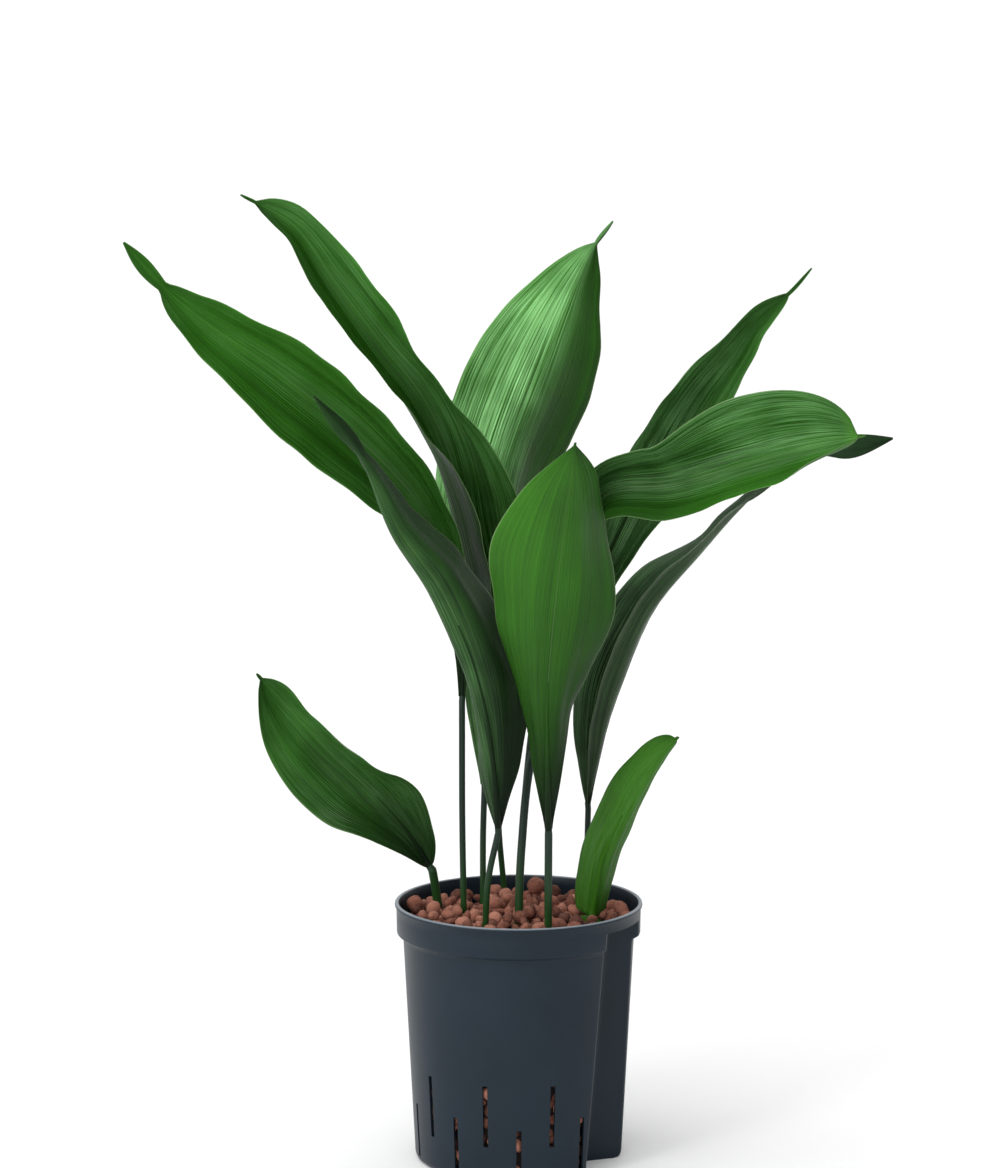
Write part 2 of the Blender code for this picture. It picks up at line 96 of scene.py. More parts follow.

# The leaves repeat the imported model's numbers, apart from the foot of small_right's blade, which starts lower
# and wider to cover its rolled sheath. A leaf has its stalk as thickness and points, then its blade on a
# midrib from base to tip, with its greatest half width, where that is, the hollow of its base, the bluntness
# of its end, and its drawn-out tip as length share, neck half width and swell. Turns say how far each half
# turns to the front, in degrees. The keys of LOOK are the half width at the base, how much lighter the tone
# gets from left to right as painted light and shade, the lightness of the green, how young the leaf is, the
# share of its length where its tip starts to turn yellow, and the painted highlight on its left and right.
LEAVES = {
    "far_left": {
        "stalk": (2.3, [(-40, 17, 178), (-41, 18, 250)]),
        "upper_side": True,
        "midrib": [
            (-41, 19, 338), (-41, 19, 385), (-50, 18, 432), (-75, 17, 483), (-121, 16, 532),
            (-171, 15, 573), (-222, 14, 609), (-254, 13, 636), (-282, 12, 668),
        ],
        "half_width": 49, "widest": 0.56, "wedge": 1.5, "blunt": 0.8, "tip": (0.1, 4.0, 3.5),
        "turns": [(30, 30), (62, 58), (50, 52), (50, 45), (20, 20)],
    },
    "upper_left": {
        "stalk": (2.2, [(-10, 66, 178), (-14, 62, 225)]),
        "upper_side": True,
        "midrib": [
            (-15, 60, 262), (-17, 54, 325), (-25, 48, 395), (-38, 46, 455), (-50, 47, 510),
            (-70, 52, 553), (-98, 61, 588), (-133, 74, 633), (-163, 84, 674), (-203, 95, 696),
        ],
        "half_width": 47, "widest": 0.47, "wedge": 1.3, "blunt": 0.6, "tip": (0.03, 1.6, 0.5),
        "turns": [(60, 60), (100, 45), (105, 25), (76, 66), (66, 45), (60, 25)],
        "tone": 0.4, "painted_side_light": 0.25, "painted_shine": (0.05, 0.35),
    },
    "top_centre": {
        "stalk": (2.3, [(-26, 48, 178), (-26, 51, 225)]),
        "upper_side": True,
        "midrib": [
            (-25, 56, 265), (-25, 74, 335), (-20, 96, 415), (-8, 117, 490), (22, 142, 572),
            (51, 163, 642), (71, 172, 671),
        ],
        "half_width": 56, "widest": 0.66, "wedge": 1.2, "blunt": 0.8, "tip": (0.05, 1.6, 0.8),
        "turns": [(20, 20), (45, -25), (-10, -52), (-15, -36), (-20, -40)],
        "tone": 0.5, "painted_side_light": -0.35, "painted_shine": (1.3, 0.0),
    },
    "front_left": {
        "stalk": (2.3, [(-24, -40, 178), (-22, -44, 215)]),
        "upper_side": False,
        "midrib": [
            (-15, -48, 255), (-19, -52, 310), (-30, -61, 370), (-55, -78, 432), (-83, -98, 476),
            (-108, -118, 530), (-141, -137, 575),
        ],
        "half_width": 41, "widest": 0.4, "wedge": 1.0, "blunt": 0.9, "tip": (0.16, 4.5, 2.5),
        "turns": [(-45, -30), (-76, -20), (-80, -55), (-80, -62), (20, 20)],
        "tone": 0.08, "painted_side_light": -0.1, "painted_shine": (0.2, 0.0),
    },
    "front_centre": {
        "stalk": (2.8, [(21, -52, 178), (21, -56, 215)]),
        "upper_side": False,
        "midrib": [
            (21, -60, 256), (20, -66, 312), (20, -76, 358), (25, -92, 424), (33, -119, 497),
            (38, -148, 544),
        ],
        "half_width": 50, "widest": 0.66, "wedge": 1.3, "blunt": 1.0, "tip": (0.01, 1.2, 0.0),
        "turns": [(-30, -20), (-55, -45), (-25, -25), (0, -54), (-10, -50)],
        "tone": 0.55, "painted_side_light": -0.25, "painted_shine": (0.0, 0.0),
    },
    "right_upper": {
        "stalk": (3.0, [(0, -11, 178), (2, -8, 230), (9, 0, 294), (28, 14, 350)]),
        "upper_side": True,
        "midrib": [
            (36, 19, 374), (63, 32, 435), (102, 50, 514), (127, 62, 554), (153, 75, 583),
            (173, 85, 606), (198, 94, 624), (215, 99, 642),
        ],
        "half_width": 39, "widest": 0.48, "wedge": 1.0, "blunt": 0.8, "tip": (0.08, 2.2, 0.6),
        "turns": [(40, 40), (45, 55), (60, 40), (64, 55), (50, 50)],
        "tone": 0.5, "painted_shine": (0.55, 0.4),
    },
    "right_over": {
        "stalk": (2.4, [(1, 20, 178), (3, 18, 240), (9, 13, 310), (19, 12, 380)]),
        "upper_side": True,
        "midrib": [
            (24, 8, 402), (33, 0, 440), (60, -20, 491), (108, -41, 501), (157, -57, 517),
            (200, -72, 531), (241, -85, 541),
        ],
        "half_width": 48, "widest": 0.74, "wedge": 1.1, "blunt": 0.42, "tip": (0.02, 1.6, 0.5),
        "turns": [(50, 50), (64, 70), (40, 64), (4, 74), (0, 88)],
        "yellow_from": 0.94, "tone": 0.38, "painted_side_light": 0.1, "painted_shine": (0.4, 0.06),
    },
    "right_back": {
        "stalk": (2.2, [(47, 35, 178), (50, 38, 212)]),
        "upper_side": False,
        "midrib": [
            (52, 40, 254), (58, 41, 282), (73, 43, 337), (99, 50, 394), (133, 60, 436),
            (179, 70, 484), (210, 76, 506), (241, 81, 512), (275, 86, 518),
        ],
        "half_width": 41, "widest": 0.33, "wedge": 1.0, "blunt": 0.9, "tip": (0.2, 6.0, 6.5),
        "turns": [(-20, 120), (-28, 118), (-48, 117), (-80, 104), (-82, 84), (0, 0)],
        "tone": -0.15, "painted_shine": (0.25, 0.1),
    },
    "small_left": {
        "stalk": (3.2, [(-59, 30, 178), (-61, 27, 195)]),
        "upper_side": True,
        "midrib": [
            (-65, 24, 211), (-81, 20, 237), (-102, 15, 263), (-126, 10, 287), (-150, 6, 313),
            (-171, 3, 337), (-189, -1, 358),
        ],
        "half_width": 41, "widest": 0.52, "wedge": 0.8, "blunt": 0.6, "tip": (0.03, 1.6, 0.5),
        "turns": [(60, 20), (50, 32), (8, 62), (15, 66), (40, 40)],
        "tone": 0.25, "painted_shine": (0.1, 0.2),
    },
    "small_right": {
        "stalk": (8.5, [(52, -10, 174)]),
        "upper_side": False, "base_half": 9.5, "young": 0.45, "tone": 0.4,
        "midrib": [
            (53, -10, 181), (60, -11, 222), (73, -13, 253), (87, -15, 281), (102, -18, 303),
            (115, -20, 315),
        ],
        "half_width": 23, "widest": 0.5, "wedge": 0.3, "blunt": 0.5, "tip": (0.02, 1.6, 0.5),
        "turns": [(-40, -55), (-46, -55), (-44, -60), (-40, -62), (-30, -60)],
    },
}


# --- Sizes and colours that a user would change ---------------------------------------------------------


def linear(code):
    """Turns an sRGB hex value into the linear colour that a shader takes."""
    parts = [int(code[i:i + 2], 16) / 255 for i in (1, 3, 5)]
    return tuple(p / 12.92 if p <= 0.04045 else ((p + 0.055) / 1.055) ** 2.4 for p in parts)


def colour(name, description, code):
    return FloatVectorProperty(
        name=name, description=description, subtype="COLOR", size=3, min=0.0, max=1.0, default=linear(code)
    )


def length(name, description, millimetres):
    return FloatProperty(
        name=name, description=description, unit="LENGTH", min=0.0, default=millimetres * MM
    )


class PotSettings(bpy.types.PropertyGroup):
    wall: length("Wall", "Thickness of the moulded wall", 1.8)
    slot_width: length("Slot width", "Width of the slots that let water in", 3.6)
    corner: length("Corner radius", "Rounding of the gauge groove's corners", 2.0)
    steps: IntProperty(name="Steps", description="Faces round the pot", default=200, min=48)
    # Painted highlight: the pale colour laid along the lip of the rim, where the light glints.
    rim_highlight: colour("Rim highlight", "Painted highlight on the lip of the rim", "#8C959D")
    plastic: colour("Plastic", "Colour of the moulded pot", "#13202A")


class ClaySettings(bpy.types.PropertyGroup):
    size: length("Granule size", "Mean diameter of a clay granule", 10.5)
    spacing: length("Spacing", "Least distance between granule centres", 6.6)
    seed: IntProperty(name="Seed", description="Fixed seed of the scatter", default=7, min=0)
    fired: colour("Fired clay", "Common colour of the granules", "#84503F")
    pale: colour("Pale clay", "Colour of the palest granules", "#AC7460")
    burnt: colour("Burnt clay", "Colour of the darkest granules", "#4E2D23")


class LeafSettings(bpy.types.PropertyGroup):
    thickness: length("Blade thickness", "Thickness of a leaf blade", 0.7)
    ripple: length("Margin ripple", "Height of the waves along the margin", 1.3)
    upper: colour("Upper side", "Deep glossy green of the upper side", "#153608")
    upper_light: colour("Upper side streaks", "Lighter streaks of the upper side", "#30720C")
    under: colour("Underside", "Duller grey-green of the underside", "#152C14")
    under_light: colour("Underside streaks", "Lighter streaks of the underside", "#37701C")
    young: colour("Young leaf", "Bright green of young leaves and tips", "#3E7C0A")
    # Painted highlight: the pale green laid on the ridges of the blade where they catch the light.
    painted_highlight: colour("Painted highlight", "Pale green painted highlight on the ridges of the blade", "#94D688")
    rib: colour("Midrib and margin", "Pale line of the midrib and the margin", "#9DB486")
    stalk: colour("Stalk", "Dark green of the stalks", "#10241A")


class StageSettings(bpy.types.PropertyGroup):
    lens: FloatProperty(
        name="Lens", description="Focal length on a 36 mm sensor", unit="CAMERA", default=139.6
    )
    window: FloatProperty(
        name="Window", description="Strength of the large soft window light", default=2.6, min=0.0
    )
    room: FloatProperty(name="Room", description="Strength of the white room around", default=0.9, min=0.0)
    floor: colour("Floor", "Colour of the plain floor", "#F4F4F4")


# --- Small helpers ----------------------------------------------------------------------------------------


def settings():
    return bpy.context.scene.potted_plant


def link(name, mesh):
    obj = bpy.data.objects.new(name, mesh)
    bpy.context.scene.collection.objects.link(obj)
    return obj


def stand_for(obj, slot, *nodes):
    """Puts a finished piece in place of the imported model's nodes."""
    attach(obj, "root")
    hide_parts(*nodes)
    return obj


def plain_mesh(obj):
    """Applies every modifier, so that the object holds a plain mesh."""
    graph = bpy.context.evaluated_depsgraph_get()
    mesh = bpy.data.meshes.new_from_object(obj.evaluated_get(graph))
    obj.modifiers.clear()
    obj.data = mesh
    return obj


def add_node(tree, kind, inputs=None, **values):
    """Adds a node, sets its properties, then sets or links its inputs."""
    node = tree.nodes.new(kind)
    for key, value in values.items():
        setattr(node, key, value)
    for key, value in (inputs or {}).items():
        if isinstance(value, bpy.types.NodeSocket):
            tree.links.new(value, node.inputs[key])
        else:
            node.inputs[key].default_value = value
    return node


def noise_value(tree, place, scale, detail):
    return add_node(
        tree, "ShaderNodeTexNoise", {"Vector": place, "Scale": scale, "Detail": detail}
    ).outputs["Fac"]


def calculate(tree, operation, *terms, **values):
    return add_node(tree, "ShaderNodeMath", dict(enumerate(terms)), operation=operation, **values).outputs[0]


def remap(tree, value, low=0.0, high=1.0, to_low=0.0, to_high=1.0):
    """Stretches the range from low to high onto another, and holds its ends."""
    inputs = {0: value, 1: low, 2: high, 3: to_low, 4: to_high}
    return add_node(tree, "ShaderNodeMapRange", inputs).outputs[0]


def mesh_from(cage, name):
    """Turns a bmesh into a mesh, and frees it."""
    mesh = bpy.data.meshes.new(name)
    cage.to_mesh(mesh)
    cage.free()
    return mesh


def new_material(name):
    """An empty material and its node tree."""
    material = bpy.data.materials.new(name)
    material.use_nodes = True
    tree = material.node_tree
    tree.nodes.clear()
    return material, tree


def ramp(tree, factor, stops):
    """A colour ramp over the factor. The stops are positions and linear colours."""
    node = add_node(tree, "ShaderNodeValToRGB", {0: factor})
    elements = node.color_ramp.elements
    while len(elements) < len(stops):
        elements.new(0.5)
    for element, (place, value) in zip(elements, stops):
        element.position = place
        element.color = (*value, 1.0)
    return node.outputs["Color"]


def finish_material(
    tree, base, roughness, bump_height=None, bump_distance=0.0002, bump_strength=1.0, **shader
):
    inputs = {"Base Color": base, "Roughness": roughness}
    inputs.update({key.replace("_", " "): value for key, value in shader.items()})
    if bump_height is not None:
        bump = add_node(
            tree, "ShaderNodeBump",
            {"Height": bump_height, "Distance": bump_distance, "Strength": bump_strength},
        )
        inputs["Normal"] = bump.outputs["Normal"]
    surface = add_node(tree, "ShaderNodeBsdfPrincipled", inputs)
    add_node(tree, "ShaderNodeOutputMaterial", {"Surface": surface.outputs[0]})


def spline_points(controls, count):
    """Reads count evenly spread points off a Catmull-Rom curve through the controls, of any dimension."""
    controls = [tuple(float(value) for value in control) for control in controls]
    first = tuple(2 * a - b for a, b in zip(controls[0], controls[1]))
    last = tuple(2 * a - b for a, b in zip(controls[-1], controls[-2]))
    padded = [first, *controls, last]
    spans = len(controls) - 1
    points = []
    for index in range(count):
        place = spans * index / (count - 1)
        span = min(int(place), spans - 1)
        t = place - span
        a, b, c, d = padded[span:span + 4]
        points.append(tuple(
            0.5 * (
                2 * q + (r - p) * t + (2 * p - 5 * q + 4 * r - s) * t**2 + (3 * q - p - 3 * r + s) * t**3
            )
            for p, q, r, s in zip(a, b, c, d)
        ))
    return points


# --- Culture pot ------------------------------------------------------------------------------------------


def pot_plastic():
    """Injection-moulded polypropylene: satin, with a faint cloudy flow of tone and a very fine grain."""
    material, tree = new_material("Moulded polypropylene")
    place = add_node(tree, "ShaderNodeTexCoord").outputs["Object"]
    cloud = noise_value(tree, place, 14.0, 3.0)
    grain = noise_value(tree, place, 2400.0, 2.0)
    plastic = settings().pot.plastic
    dark = tuple(c * 0.86 for c in plastic)
    light = tuple(c * 1.16 for c in plastic)
    base = ramp(tree, cloud, [(0.3, dark), (0.7, light)])
    rough = remap(tree, cloud, to_low=0.36, to_high=0.46)
    # Painted highlight: the lip of the rim is painted pale, where the light glints along it.
    tall = add_node(tree, "ShaderNodeSeparateXYZ", {0: place}).outputs["Z"]
    rim_highlight = remap(tree, tall, *RIM_HIGHLIGHT_FADE, to_high=0.75)
    base = mixed_colour(tree, rim_highlight, base, (*settings().pot.rim_highlight, 1.0))
    finish_material(tree, base, rough, grain, 0.00003, 0.5, Specular_IOR_Level=0.22)
    return material


def groove_floor(height, inset):
    """How far out the groove's floor lies at a height, and half its width there."""
    share = height / GROOVE_TOP
    floor = GROOVE_FLOOR_LOW[0] + share * (GROOVE_FLOOR_TOP[0] - GROOVE_FLOOR_LOW[0]) - inset
    grow = inset * math.sqrt(1 + GROOVE_FLARE**2) - GROOVE_FLARE * inset
    half = GROOVE_FLOOR_LOW[1] + share * (GROOVE_FLOOR_TOP[1] - GROOVE_FLOOR_LOW[1]) + grow
    return floor, half


def pot_outline(radius, height, inset, grooved):
    """A closed outline of the pot at one height, with as many points whether or not it is grooved."""
    pot = settings().pot
    rounding = pot.corner / MM
    floor, half = groove_floor(height, inset)
    # Where the flank meets the circle.
    a = 1 + GROOVE_FLARE**2
    b = GROOVE_FLARE * (half - GROOVE_FLARE * floor)
    c = (half - GROOVE_FLARE * floor) ** 2 - radius**2
    out = (-b + math.sqrt(b * b - a * c)) / a
    side = half + GROOVE_FLARE * (out - floor)
    edge = math.atan2(side, out)
    flank = Vector((out - floor, side - half)).normalized()
    turn = rounding / radius
    half_points = []
    floor_steps, bend_steps, flank_steps, lip_steps = 6, 5, 10, 5
    for index in range(floor_steps):
        half_points.append((floor, (half - rounding) * index / floor_steps))
    inner_end = Vector((floor, half)) + flank * rounding
    for index in range(bend_steps):
        half_points.append(bezier((floor, half - rounding), (floor, half), inner_end, index / bend_steps))
    corner_point = Vector((out, side))
    outer_start = corner_point - flank * rounding
    for index in range(flank_steps):
        half_points.append(tuple(inner_end.lerp(outer_start, index / flank_steps)))
    lip_end = Vector((math.cos(edge + turn), math.sin(edge + turn))) * radius
    for index in range(lip_steps + 1):
        half_points.append(bezier(outer_start, corner_point, lip_end, index / lip_steps))
    if not grooved:
        count = len(half_points)
        angles = [(edge + turn) * index / (count - 1) for index in range(count)]
        half_points = [(radius * math.cos(t), radius * math.sin(t)) for t in angles]
    rest = pot.steps
    start = edge + turn
    arc = [start + (2 * math.pi - 2 * start) * index / rest for index in range(1, rest)]
    points = half_points + [(radius * math.cos(t), radius * math.sin(t)) for t in arc]
    points += [(x, -y) for x, y in reversed(half_points[1:])]
    turned = Matrix.Rotation(GROOVE_BEARING, 2)
    return [(*(turned @ Vector(point)), height) for point in points]


def bezier(start, control, end, t):
    start, control, end = Vector(start), Vector(control), Vector(end)
    return tuple(start.lerp(control, t).lerp(control.lerp(end, t), t))


def pot_rows():
    """Rows of the pot's skin, up the outside and down the inside: radius, height, inset, grooved or not."""
    wall = settings().pot.wall / MM
    side_rise = BAND_LOW - 2.6 - FOOT_ROUND
    lower_outside = [
        (FOOT_R - 4.6, 0.0),
        (FOOT_R - 2.6, 0.45),
        (FOOT_R - 1.1, 1.7),
        (FOOT_R - 0.3, 3.4),
        (FOOT_R, FOOT_ROUND),
    ]
    lower_outside += [
        (FOOT_R + (SHOULDER_R - FOOT_R) * share, FOOT_ROUND + side_rise * share)
        for share in (0.01, 0.25, 0.5, 0.75, 0.985)
    ]
    lower_outside += [
        (SHOULDER_R + 0.5, BAND_LOW - 2.3),
        (BAND_R - 1.0, BAND_LOW - 0.7),
        (BAND_R - 0.3, BAND_LOW - 0.15),
        (BAND_R, BAND_LOW + 0.6),
        (BAND_R + 0.15, GROOVE_TOP - 0.8),
        (BAND_R + 0.17, GROOVE_TOP),
    ]
    inner_top = BAND_R - wall + BAND_DRAFT * (POT_H - BAND_LOW - 1.0)
    over_rim = [
        (BAND_R + 0.17, GROOVE_TOP),
        (BAND_R + 0.2, GROOVE_TOP + 0.8),
        (BAND_R + 0.3, POT_H - 3.4),
        (RIM_R - 0.5, POT_H - 2.9),
        (RIM_R - 0.08, POT_H - 2.3),
        (RIM_R, POT_H - 1.5),
        (RIM_R - 0.15, POT_H - 0.6),
        (RIM_R - 0.6, POT_H - 0.12),
        (RIM_R - 1.2, POT_H),
        (inner_top + 0.35, POT_H - 0.1),
        (inner_top, POT_H - 0.6),
    ]
    upper_inside = [
        (inner_top - 0.1, GROOVE_TOP + wall + 1.0),
        (inner_top - 0.12, GROOVE_TOP + wall),
    ]
    lower_inside = [
        (inner_top - 0.12, GROOVE_TOP + wall),
        (inner_top - 0.14, GROOVE_TOP + wall - 0.6),
        (BAND_R - wall, BAND_LOW + 1.0),
        (SHOULDER_R - wall, BAND_LOW - 4.0),
        (FOOT_R - wall, FOOT_ROUND + 0.5),
        (FOOT_R - wall - 3.0, BASE),
    ]
    stretches = (
        (lower_outside, 0.0, True), (over_rim, 0.0, False),
        (upper_inside, wall, False), (lower_inside, wall, True),
    )
    return [(*row, inset, grooved) for rows, inset, grooved in stretches for row in rows]


def pot_shell():
    cage = bmesh.new()
    loops = []
    for radius, height, inset, grooved in pot_rows():
        outline = pot_outline(radius, height, inset, grooved)
        loops.append([cage.verts.new(Vector(point) * MM) for point in outline])
    for lower, upper in zip(loops, loops[1:]):
        bridge(cage, lower, upper)
    cage.faces.new(list(reversed(loops[0])))
    cage.faces.new(loops[-1])
    bmesh.ops.remove_doubles(cage, verts=cage.verts, dist=1e-6)
    bmesh.ops.recalc_face_normals(cage, faces=cage.faces)
    mesh = mesh_from(cage, "culture_pot_shell")
    return link("pot_of_moulded_plastic", mesh)


def slot_blocks():
    """Thin upright blocks that cut both staggered rows of slots."""
    width = settings().pot.slot_width / MM
    groove = 90.0 + math.degrees(GROOVE_BEARING)
    cage = bmesh.new()
    for index in range(10):
        for shift, (low, high) in ((0.5, UPPER_SLOT), (0.0, LOWER_SLOT)):
            bearing = (index + shift) * SLOT_STEP
            if abs(bearing - groove) < GROOVE_CLEAR:
                continue
            if bearing == 0.0:
                low, high = FRONT_SLOT
            turned = Matrix.Rotation(math.radians(bearing - 90.0), 3, "Z")
            made = bmesh.ops.create_cube(cage, size=1.0)["verts"]
            for vert in made:
                up = (low + high) / 2 + vert.co.z * (high - low)
                place = Vector((FOOT_R + 3 + vert.co.x * 16, vert.co.y * width, up))
                vert.co = turned @ place * MM
    mesh = mesh_from(cage, "slot_blocks")
    return link("slot_blocks", mesh)


class PLANT_OT_pot(bpy.types.Operator):
    """Builds the slotted culture pot with its gauge groove"""

    bl_idname = "plant.pot"
    bl_label = "Culture pot"

    def execute(self, context):
        pot = pot_shell()
        blocks = slot_blocks()
        cut = pot.modifiers.new("Slots", "BOOLEAN")
        cut.operation = "DIFFERENCE"
        cut.object = blocks
        plain_mesh(pot)
        bpy.data.objects.remove(blocks, do_unlink=True)
        pot.data.materials.clear()
        pot.data.materials.append(pot_plastic())
        pot.data.shade_smooth()
        pot.data.set_sharp_from_angle(angle=math.radians(50))
        stand_for(pot, "pot_plastic", "culture_pot")
        return {"FINISHED"}


# --- Expanded clay ----------------------------------------------------------------------------------------


def expanded_clay():
    """Kiln-fired clay: dull, porous skin in mixed terracotta browns, each granule with its own tone."""
    material, tree = new_material("Fired expanded clay")
    clay = settings().clay
    place = add_node(tree, "ShaderNodeTexCoord").outputs["Object"]
    tone = add_node(tree, "ShaderNodeAttribute", attribute_name="granule_tone").outputs["Fac"]
    blotch = noise_value(tree, place, 260.0, 4.0)
    pores = add_node(tree, "ShaderNodeTexVoronoi", {"Vector": place, "Scale": 900.0}).outputs["Distance"]
    grit = noise_value(tree, place, 1400.0, 3.0)
    both = calculate(tree, "MULTIPLY", tone, 0.75)
    mixed = calculate(tree, "MULTIPLY_ADD", blotch, 0.5, both)
    base = ramp(tree, mixed, [(0.22, clay.burnt), (0.55, clay.fired), (0.95, clay.pale)])
    height = calculate(tree, "ADD", pores, grit)
    finish_material(tree, base, 0.92, height, 0.0005, 0.8, IOR=1.5)
    return material


def deep_clay():
    """The clay between the granules, which no light reaches: the same fired clay, nearly black."""
    material, tree = new_material("Fired clay in shadow")
    place = add_node(tree, "ShaderNodeTexCoord").outputs["Object"]
    grit = noise_value(tree, place, 300.0, 4.0)
    base = ramp(tree, grit, [(0.35, linear("#120B09")), (0.7, linear("#2B1914"))])
    finish_material(tree, base, 0.95, grit, 0.001, 0.6)
    return material


def inner_radius(height):
    """The pot's inside radius below its band."""
    wall = settings().pot.wall / MM
    share = (height - FOOT_ROUND) / (BAND_LOW - 4.0 - FOOT_ROUND)
    return FOOT_R + (SHOULDER_R - FOOT_R) * share - wall


def ring(cage, height, inset, radius=None):
    wall = settings().pot.wall / MM
    around = (inner_radius(height) if radius is None else radius) - inset
    points = pot_outline(around, height, wall + inset, True)
    return [cage.verts.new(Vector(point) * MM) for point in points]


def bridge(cage, lower, upper):
    for index in range(len(lower)):
        after = (index + 1) % len(lower)
        cage.faces.new((lower[index], lower[after], upper[after], upper[index]))


def clay_surface(name, levels, inset, closed_below=False, closed_above=False):
    """A skin inside the pot, at an inset from its wall, through the given heights."""
    cage = bmesh.new()
    rings = [ring(cage, height, inset, BAND_R - 2.0 if height > BAND_LOW else None) for height in levels]
    for lower, upper in zip(rings, rings[1:]):
        bridge(cage, lower, upper)
    if closed_below:
        cage.faces.new(list(reversed(rings[0])))
    if closed_above:
        cage.faces.new(rings[-1])
    mesh = mesh_from(cage, name)
    return link(name, mesh)


def granule_tree():
    """Scatters lumpy balls over a surface: size, spacing, lumps, lift and seed are its inputs."""
    tree = bpy.data.node_groups.new("Clay granules", "GeometryNodeTree")
    face = tree.interface
    face.new_socket("Geometry", in_out="INPUT", socket_type="NodeSocketGeometry")
    for name in ("Diameter", "Spacing", "Lumps", "Lift"):
        face.new_socket(name, in_out="INPUT", socket_type="NodeSocketFloat")
    face.new_socket("Seed", in_out="INPUT", socket_type="NodeSocketInt")
    face.new_socket("Material", in_out="INPUT", socket_type="NodeSocketMaterial")
    face.new_socket("Geometry", in_out="OUTPUT", socket_type="NodeSocketGeometry")
    given = add_node(tree, "NodeGroupInput").outputs
    points = add_node(
        tree, "GeometryNodeDistributePointsOnFaces",
        {
            "Mesh": given["Geometry"], "Distance Min": given["Spacing"],
            "Density Max": 40000.0, "Seed": given["Seed"],
        },
        distribute_method="POISSON",
    ).outputs["Points"]
    rise = add_node(
        tree, "FunctionNodeRandomValue", {2: 0.0, 3: given["Lift"], 8: 11}, data_type="FLOAT"
    ).outputs[1]
    up = add_node(tree, "ShaderNodeCombineXYZ", {"Z": rise}).outputs[0]
    lifted = add_node(tree, "GeometryNodeSetPosition", {"Geometry": points, "Offset": up}).outputs[0]
    radius = calculate(tree, "MULTIPLY", given["Diameter"], 0.5)
    ball = add_node(tree, "GeometryNodeMeshIcoSphere", {"Radius": radius, "Subdivisions": 2}).outputs["Mesh"]
    spin = add_node(
        tree, "FunctionNodeRandomValue",
        {0: (0.0, 0.0, 0.0), 1: (6.28, 6.28, 6.28), 8: 2}, data_type="FLOAT_VECTOR",
    ).outputs[0]
    stretch = add_node(
        tree, "FunctionNodeRandomValue",
        {0: (0.55, 0.5, 0.5), 1: (1.3, 1.15, 1.1), 8: 3}, data_type="FLOAT_VECTOR",
    ).outputs[0]
    placed = add_node(
        tree, "GeometryNodeInstanceOnPoints",
        {"Points": lifted, "Instance": ball, "Rotation": spin, "Scale": stretch},
    ).outputs[0]
    tone = add_node(tree, "FunctionNodeRandomValue", {2: 0.0, 3: 1.0, 8: 5}, data_type="FLOAT").outputs[1]
    toned = add_node(
        tree, "GeometryNodeStoreNamedAttribute",
        {"Geometry": placed, "Name": "granule_tone", "Value": tone}, data_type="FLOAT", domain="INSTANCE",
    ).outputs[0]
    real = add_node(tree, "GeometryNodeRealizeInstances", {0: toned}).outputs[0]
    where = add_node(tree, "GeometryNodeInputPosition").outputs[0]
    lumps = noise_value(tree, where, 110.0, 1.5)
    centred = calculate(tree, "SUBTRACT", lumps, 0.5)
    swell = calculate(tree, "MULTIPLY", centred, given["Lumps"])
    normal = add_node(tree, "GeometryNodeInputNormal").outputs[0]
    push = add_node(tree, "ShaderNodeVectorMath", {0: normal, "Scale": swell}, operation="SCALE").outputs[0]
    lumpy = add_node(tree, "GeometryNodeSetPosition", {"Geometry": real, "Offset": push}).outputs[0]
    smooth = add_node(tree, "GeometryNodeSetShadeSmooth", {"Geometry": lumpy}).outputs[0]
    painted = add_node(
        tree, "GeometryNodeSetMaterial", {"Geometry": smooth, "Material": given["Material"]}
    ).outputs[0]
    add_node(tree, "NodeGroupOutput", {"Geometry": painted})
    return tree


def scatter(surface, tree, **values):
    """Runs the tree on a surface, then keeps its result as a plain mesh."""
    modifier = surface.modifiers.new("Granules", "NODES")
    modifier.node_group = tree
    sockets = {item.name: item.identifier for item in tree.interface.items_tree if item.in_out == "INPUT"}
    for name, value in values.items():
        modifier[sockets[name]] = value
    return plain_mesh(surface)


def lone_granules(fired):
    """Two large round granules, one by the left rim and one on top of the pile at the back."""
    cage = bmesh.new()
    tone = cage.verts.layers.float.new("granule_tone")
    for place, radius, shade in (((-76.0, 22.0, 183.0), 6.0, 0.45), ((13.0, 55.0, 189.0), 6.5, 0.25)):
        centre = Vector(place)
        ball = bmesh.ops.create_icosphere(cage, subdivisions=3, radius=radius)["verts"]
        for vert in ball:
            swell = 1.0 + 0.12 * noise.noise(vert.co * 0.2 + centre)
            vert.co = (vert.co * swell + centre) * MM
            vert[tone] = shade
    for face in cage.faces:
        face.smooth = True
    mesh = mesh_from(cage, "clay_lone")
    mesh.materials.append(fired)
    return link("clay_lone", mesh)


